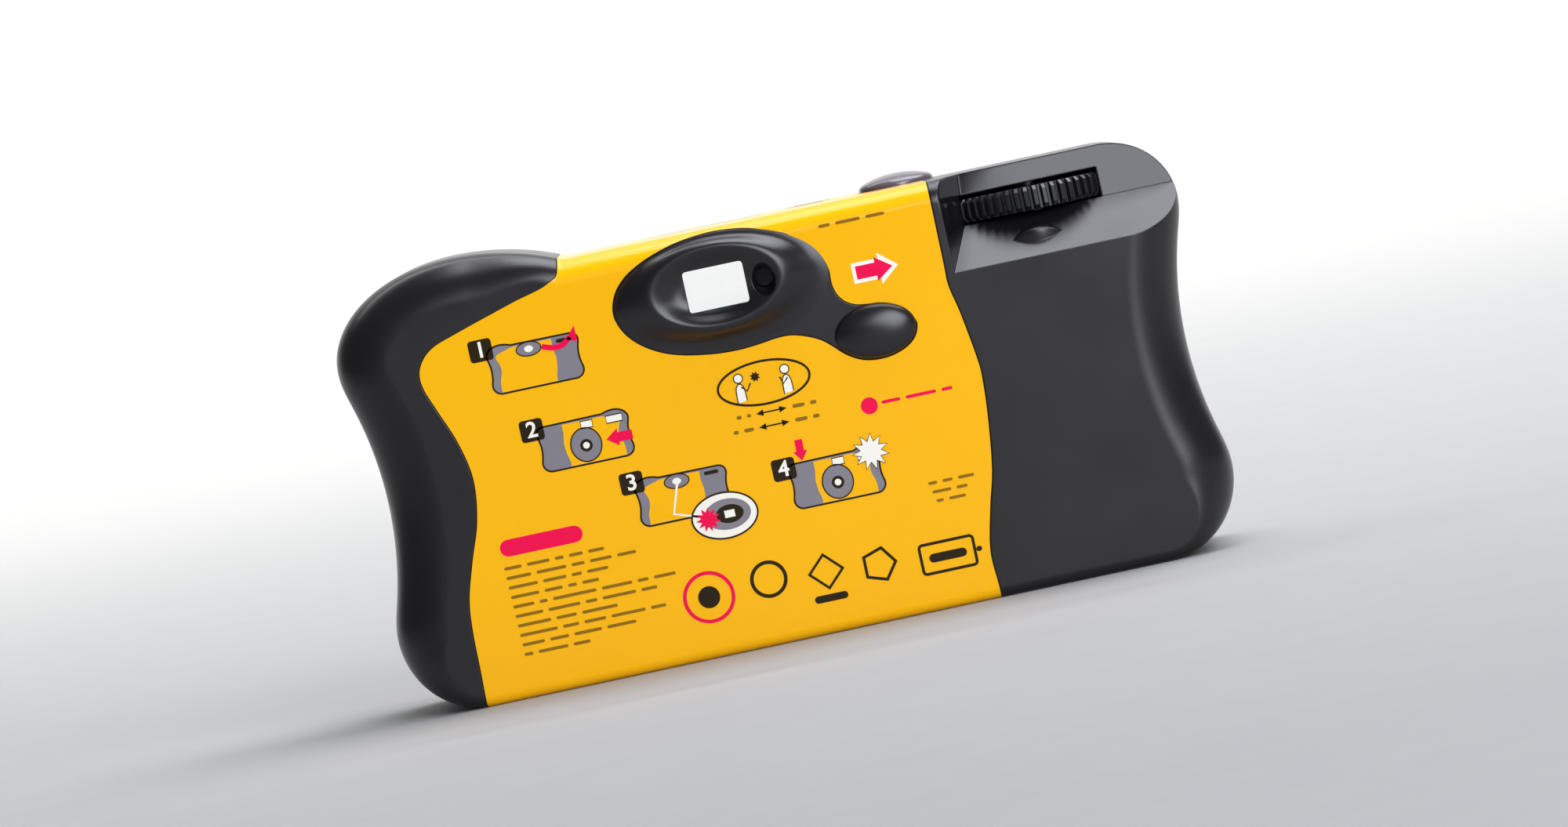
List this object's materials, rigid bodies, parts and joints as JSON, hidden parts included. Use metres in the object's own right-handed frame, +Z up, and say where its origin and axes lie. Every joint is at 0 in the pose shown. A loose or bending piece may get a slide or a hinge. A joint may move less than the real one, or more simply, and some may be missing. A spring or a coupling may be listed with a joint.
{
  "type": "disposable film camera",
  "caption": "Single-use 35 mm film camera with a built-in flash: waisted black case in a printed wrap, ribbed thumbwheel, tunnel viewfinder and fixed plastic lens",
  "frame": {"origin": "on the base the camera stands on, below the middle of the lens", "axes": "+Z up, the lens looks along -Y, +X towards the flash"},
  "size_m": [0.117, 0.0372, 0.0606],
  "materials": {
    "black_plastic": "fine satin texture",
    "printed_wrap": "printed film, gloss",
    "inner_plastic": "dull, light-tight",
    "wheel_plastic": "satin",
    "white_plastic": "natural moulding",
    "button_plastic": "satin",
    "charge_plastic": "gloss",
    "clear_plastic": "clear, polished",
    "flash_tube_glass": "clear, polished",
    "light_pipe": "tinted, polished",
    "film_base": "gloss",
    "printed_tin": "printed tinplate",
    "tinplate": "bright",
    "spring_steel": "drawn wire",
    "shutter_metal": "blackened sheet",
    "copper": "sprung strip",
    "reflector_metal": "bright",
    "board": "solder mask",
    "capacitor_can": "sleeved can",
    "cell_can": "sleeved can"
  },
  "bodies": {
    "camera_body": {"rear_cover": "black_plastic", "front_cover": "black_plastic", "wrap_label": "printed_wrap", "chassis": "inner_plastic", "mechanism_plate": "inner_plastic", "film_cartridge_shell": "printed_tin", "cartridge_end_caps": "tinplate", "film_strip": "film_base", "lever_spring": "spring_steel", "lens_board": "inner_plastic", "lens_holder": "inner_plastic", "taking_lens": "clear_plastic", "lens_ring": "black_plastic", "viewfinder_frame": "inner_plastic", "viewfinder_front_lens": "clear_plastic", "eyepiece_lens": "clear_plastic", "ready_light_pipe": "light_pipe", "ready_lamp": "flash_tube_glass", "button_spring": "spring_steel", "counter_window": "clear_plastic", "flash_window": "clear_plastic", "flash_reflector": "reflector_metal", "flash_tube": "flash_tube_glass", "flash_board": "board", "flash_capacitor": "capacitor_can", "flash_transformer": "copper", "trigger_coil": "copper", "charge_contact": "copper", "sync_contact": "copper", "battery": "cell_can", "battery_plus_contact": "copper", "battery_minus_contact": "copper", "film_door_pin": "spring_steel"},
    "winder": {"thumbwheel": "wheel_plastic", "cartridge_spool": "white_plastic"},
    "film_gear": {"film_sprocket": "white_plastic", "metering_cam": "white_plastic"},
    "supply": {"supply_film_roll": "film_base", "supply_spool": "inner_plastic"},
    "counter": {"counter_dial": "white_plastic"},
    "release": {"shutter_button": "button_plastic"},
    "charger": {"flash_button": "charge_plastic"},
    "shutter_arm": {"shutter_lever": "white_plastic"},
    "shutter": {"shutter_blade": "shutter_metal"},
    "meter_arm": {"metering_lever": "white_plastic"},
    "pawl": {"anti_reverse_pawl": "white_plastic"},
    "door": {"film_door": "black_plastic"}
  },
  "joints": [
    {"name": "wind_wheel", "type": "hinge", "parent": "camera_body", "child": "winder", "pos_m": [-0.0387, 0, 0.052], "axis": [0, 0, 1], "continuous": true},
    {"name": "film_gear_turn", "type": "hinge", "parent": "camera_body", "child": "film_gear", "pos_m": [-0.01928, 0.00295, 0.0378], "axis": [0, 0, 1], "continuous": true},
    {"name": "supply_turn", "type": "hinge", "parent": "camera_body", "child": "supply", "pos_m": [0.037, 0.00038, 0.0237], "axis": [0, 0, 1], "continuous": true},
    {"name": "counter_turn", "type": "hinge", "parent": "camera_body", "child": "counter", "pos_m": [-0.00917, -0.0045, 0.05185], "axis": [0, 0, 1], "continuous": true},
    {"name": "press_release", "type": "slide", "parent": "camera_body", "child": "release", "axis": [0, 0, -1], "range_m": [0, 0.0012], "stiffness_N_per_m": 900, "deforming": ["button_spring"]},
    {"name": "press_charge", "type": "slide", "parent": "camera_body", "child": "charger", "axis": [0, 1, 0], "range_m": [0, 0.001], "stiffness_N_per_m": 1200},
    {"name": "swing_lever", "type": "hinge", "parent": "camera_body", "child": "shutter_arm", "pos_m": [-0.00917, -0.0045, 0.04825], "axis": [0, 0, 1], "range_deg": [0, 24], "stiffness_Nm_per_rad": 0.002},
    {"name": "swing_blade", "type": "hinge", "parent": "camera_body", "child": "shutter", "pos_m": [-0.00667, -0.01165, 0.0369], "axis": [0, 1, 0], "range_deg": [0, 20]},
    {"name": "swing_meter", "type": "hinge", "parent": "camera_body", "child": "meter_arm", "pos_m": [-0.01117, 0.0032, 0.04825], "axis": [0, 0, 1], "range_deg": [-8, 8], "stiffness_Nm_per_rad": 0.002},
    {"name": "swing_pawl", "type": "hinge", "parent": "camera_body", "child": "pawl", "pos_m": [-0.0235, -0.01, 0.0517], "axis": [0, 0, 1], "range_deg": [-6, 12], "stiffness_Nm_per_rad": 0.002},
    {"name": "open_door", "type": "hinge", "parent": "camera_body", "child": "door", "pos_m": [-0.025, 0, 0.0008], "axis": [0, 1, 0], "range_deg": [-95, 0]}
  ],
  "couplings": [
    {"joint": "film_gear_turn", "follows": "wind_wheel", "ratio": 1.316},
    {"joint": "supply_turn", "follows": "wind_wheel", "ratio": 0.947},
    {"joint": "counter_turn", "follows": "wind_wheel", "ratio": -0.0439},
    {"joint": "swing_blade", "follows": "swing_lever", "ratio": 0.8}
  ]
}
